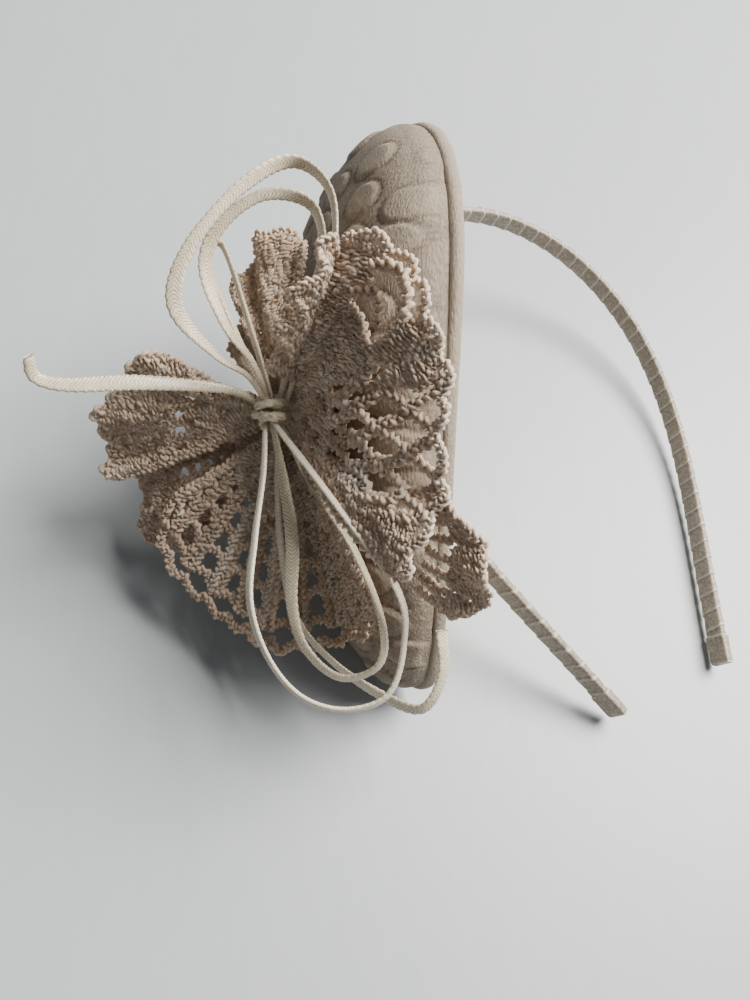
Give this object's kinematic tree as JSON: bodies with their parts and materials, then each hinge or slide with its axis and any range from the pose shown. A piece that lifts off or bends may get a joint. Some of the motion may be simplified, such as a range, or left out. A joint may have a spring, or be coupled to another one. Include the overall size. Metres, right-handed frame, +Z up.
{
  "type": "alice band with quilted pad, crochet doily and bow",
  "caption": "Ribbon-wrapped alice band carrying an egg-shaped quilted pad, a gathered crochet doily and a bow of flat braided straw ribbon.",
  "frame": {"origin": "on the table, under the middle of the whole piece's box, with the piece lying at rest as it is put down when not worn", "axes": "+Z up from the table; the pad, doily and bow are at -X and the band runs out to +X; the band's crown points to +Y and its two ends to -Y"},
  "size_m": [0.1808, 0.155, 0.0911],
  "materials": {
    "spring_steel": "bare spring steel strip, satin, hidden in the ribbon",
    "wrap_ribbon": "narrow woven ribbon, warm grey-brown with pale edges, soft sheen",
    "sewing_thread": "twisted cream thread",
    "quilted_cotton": "matelasse cotton, greige, raised dashes and bubbles, matt",
    "wadding": "white fibre wadding",
    "millinery_board": "stiff buckram board, matt",
    "backing_felt": "thin felt, greige, matt",
    "crochet_cotton": "crocheted cotton yarn, ecru, open stitches, matt",
    "flat_raffia": "flat braided ribbon of straw-like fibre, cream, light sheen"
  },
  "bodies": {
    "pad_and_crown": {"band_core_crown": "spring_steel", "band_wrap_crown": "wrap_ribbon", "band_tie_upper": "sewing_thread", "band_tie_lower": "sewing_thread", "pad_backing": "backing_felt", "pad_board": "millinery_board", "pad_cover": "quilted_cotton", "pad_wadding": "wadding", "doily_gather": "crochet_cotton", "doily_wing_near": "crochet_cotton", "doily_lobe_corner": "crochet_cotton", "doily_wing_top": "crochet_cotton", "doily_wing_bottom": "crochet_cotton", "bow_knot": "flat_raffia"},
    "leg_a": {"band_core_leg_a": "spring_steel", "band_wrap_leg_a": "wrap_ribbon", "band_end_fold_a": "wrap_ribbon"},
    "leg_b": {"band_core_leg_b": "spring_steel", "band_wrap_leg_b": "wrap_ribbon", "band_end_fold_b": "wrap_ribbon"},
    "upper_loops": {"bow_loop_upper_outer": "flat_raffia", "bow_loop_upper_inner": "flat_raffia", "bow_loop_upper_thin": "flat_raffia"},
    "lower_loops": {"bow_loop_lower_outer": "flat_raffia", "bow_loop_lower_middle": "flat_raffia", "bow_tail_lower": "flat_raffia"},
    "long_tail": {"bow_tail_long": "flat_raffia"},
    "left_lobes": {"doily_lobe_left_upper": "crochet_cotton", "doily_lobe_left_lower": "crochet_cotton"}
  },
  "joints": [
    {"name": "leg_a_flex", "type": "hinge", "parent": "pad_and_crown", "child": "leg_a", "pos_m": [0.08285, 0.03475, 0.00726], "axis": [0.3443, -0.0738, 0.9359], "range_deg": [-3, 12], "stiffness_Nm_per_rad": 0.08},
    {"name": "leg_b_flex", "type": "hinge", "parent": "pad_and_crown", "child": "leg_b", "pos_m": [-0.00577, -0.01367, 0.03566], "axis": [-0.3443, 0.0738, -0.9359], "range_deg": [-3, 12], "stiffness_Nm_per_rad": 0.08},
    {"name": "upper_loops_lift", "type": "hinge", "parent": "pad_and_crown", "child": "upper_loops", "pos_m": [-0.03912, -0.01405, 0.05077], "axis": [0.3558, -0.4303, 0.8296], "range_deg": [0, 5], "stiffness_Nm_per_rad": 0.01},
    {"name": "lower_loops_lift", "type": "hinge", "parent": "pad_and_crown", "child": "lower_loops", "pos_m": [-0.03912, -0.01405, 0.05077], "axis": [-0.3558, 0.4303, -0.8296], "range_deg": [0, 6], "stiffness_Nm_per_rad": 0.01},
    {"name": "long_tail_swing", "type": "hinge", "parent": "pad_and_crown", "child": "long_tail", "pos_m": [-0.03912, -0.01405, 0.05077], "axis": [0.1031, -0.8642, -0.4924], "range_deg": [-8, 8], "stiffness_Nm_per_rad": 0.003},
    {"name": "left_lobes_droop", "type": "hinge", "parent": "pad_and_crown", "child": "left_lobes", "pos_m": [-0.03721, -0.00917, 0.0426], "axis": [0.1031, -0.8642, -0.4924], "range_deg": [-4, 6], "stiffness_Nm_per_rad": 0.005}
  ]
}
